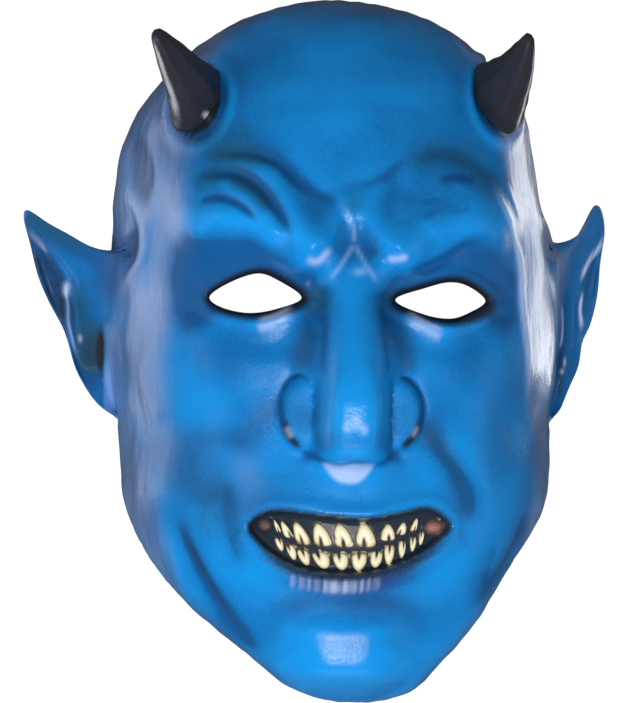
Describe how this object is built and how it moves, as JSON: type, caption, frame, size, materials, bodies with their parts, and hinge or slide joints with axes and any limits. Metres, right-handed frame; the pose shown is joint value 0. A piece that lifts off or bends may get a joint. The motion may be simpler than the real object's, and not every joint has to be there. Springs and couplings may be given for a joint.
{
  "type": "latex demon mask",
  "caption": "Full face mask of a grinning demon with pointed ears, bared teeth, open eyes and short dark horns, hollow and open at the back, lying face up.",
  "frame": {"origin": "middle of the box of the whole mask, on the surface that the back rim rests on", "axes": "+Z out of the face, +Y toward the crown, +X to the right of someone looking at the face"},
  "size_m": [0.2468, 0.2926, 0.1537],
  "materials": {
    "blue_latex": "satin latex, airbrushed darker in the creases, with painted teeth",
    "black_horn": "glossy black paint on moulded latex"
  },
  "bodies": {
    "root": {"mask_skin": "blue_latex", "horn_left": "black_horn", "horn_right": "black_horn"}
  },
  "joints": []
}
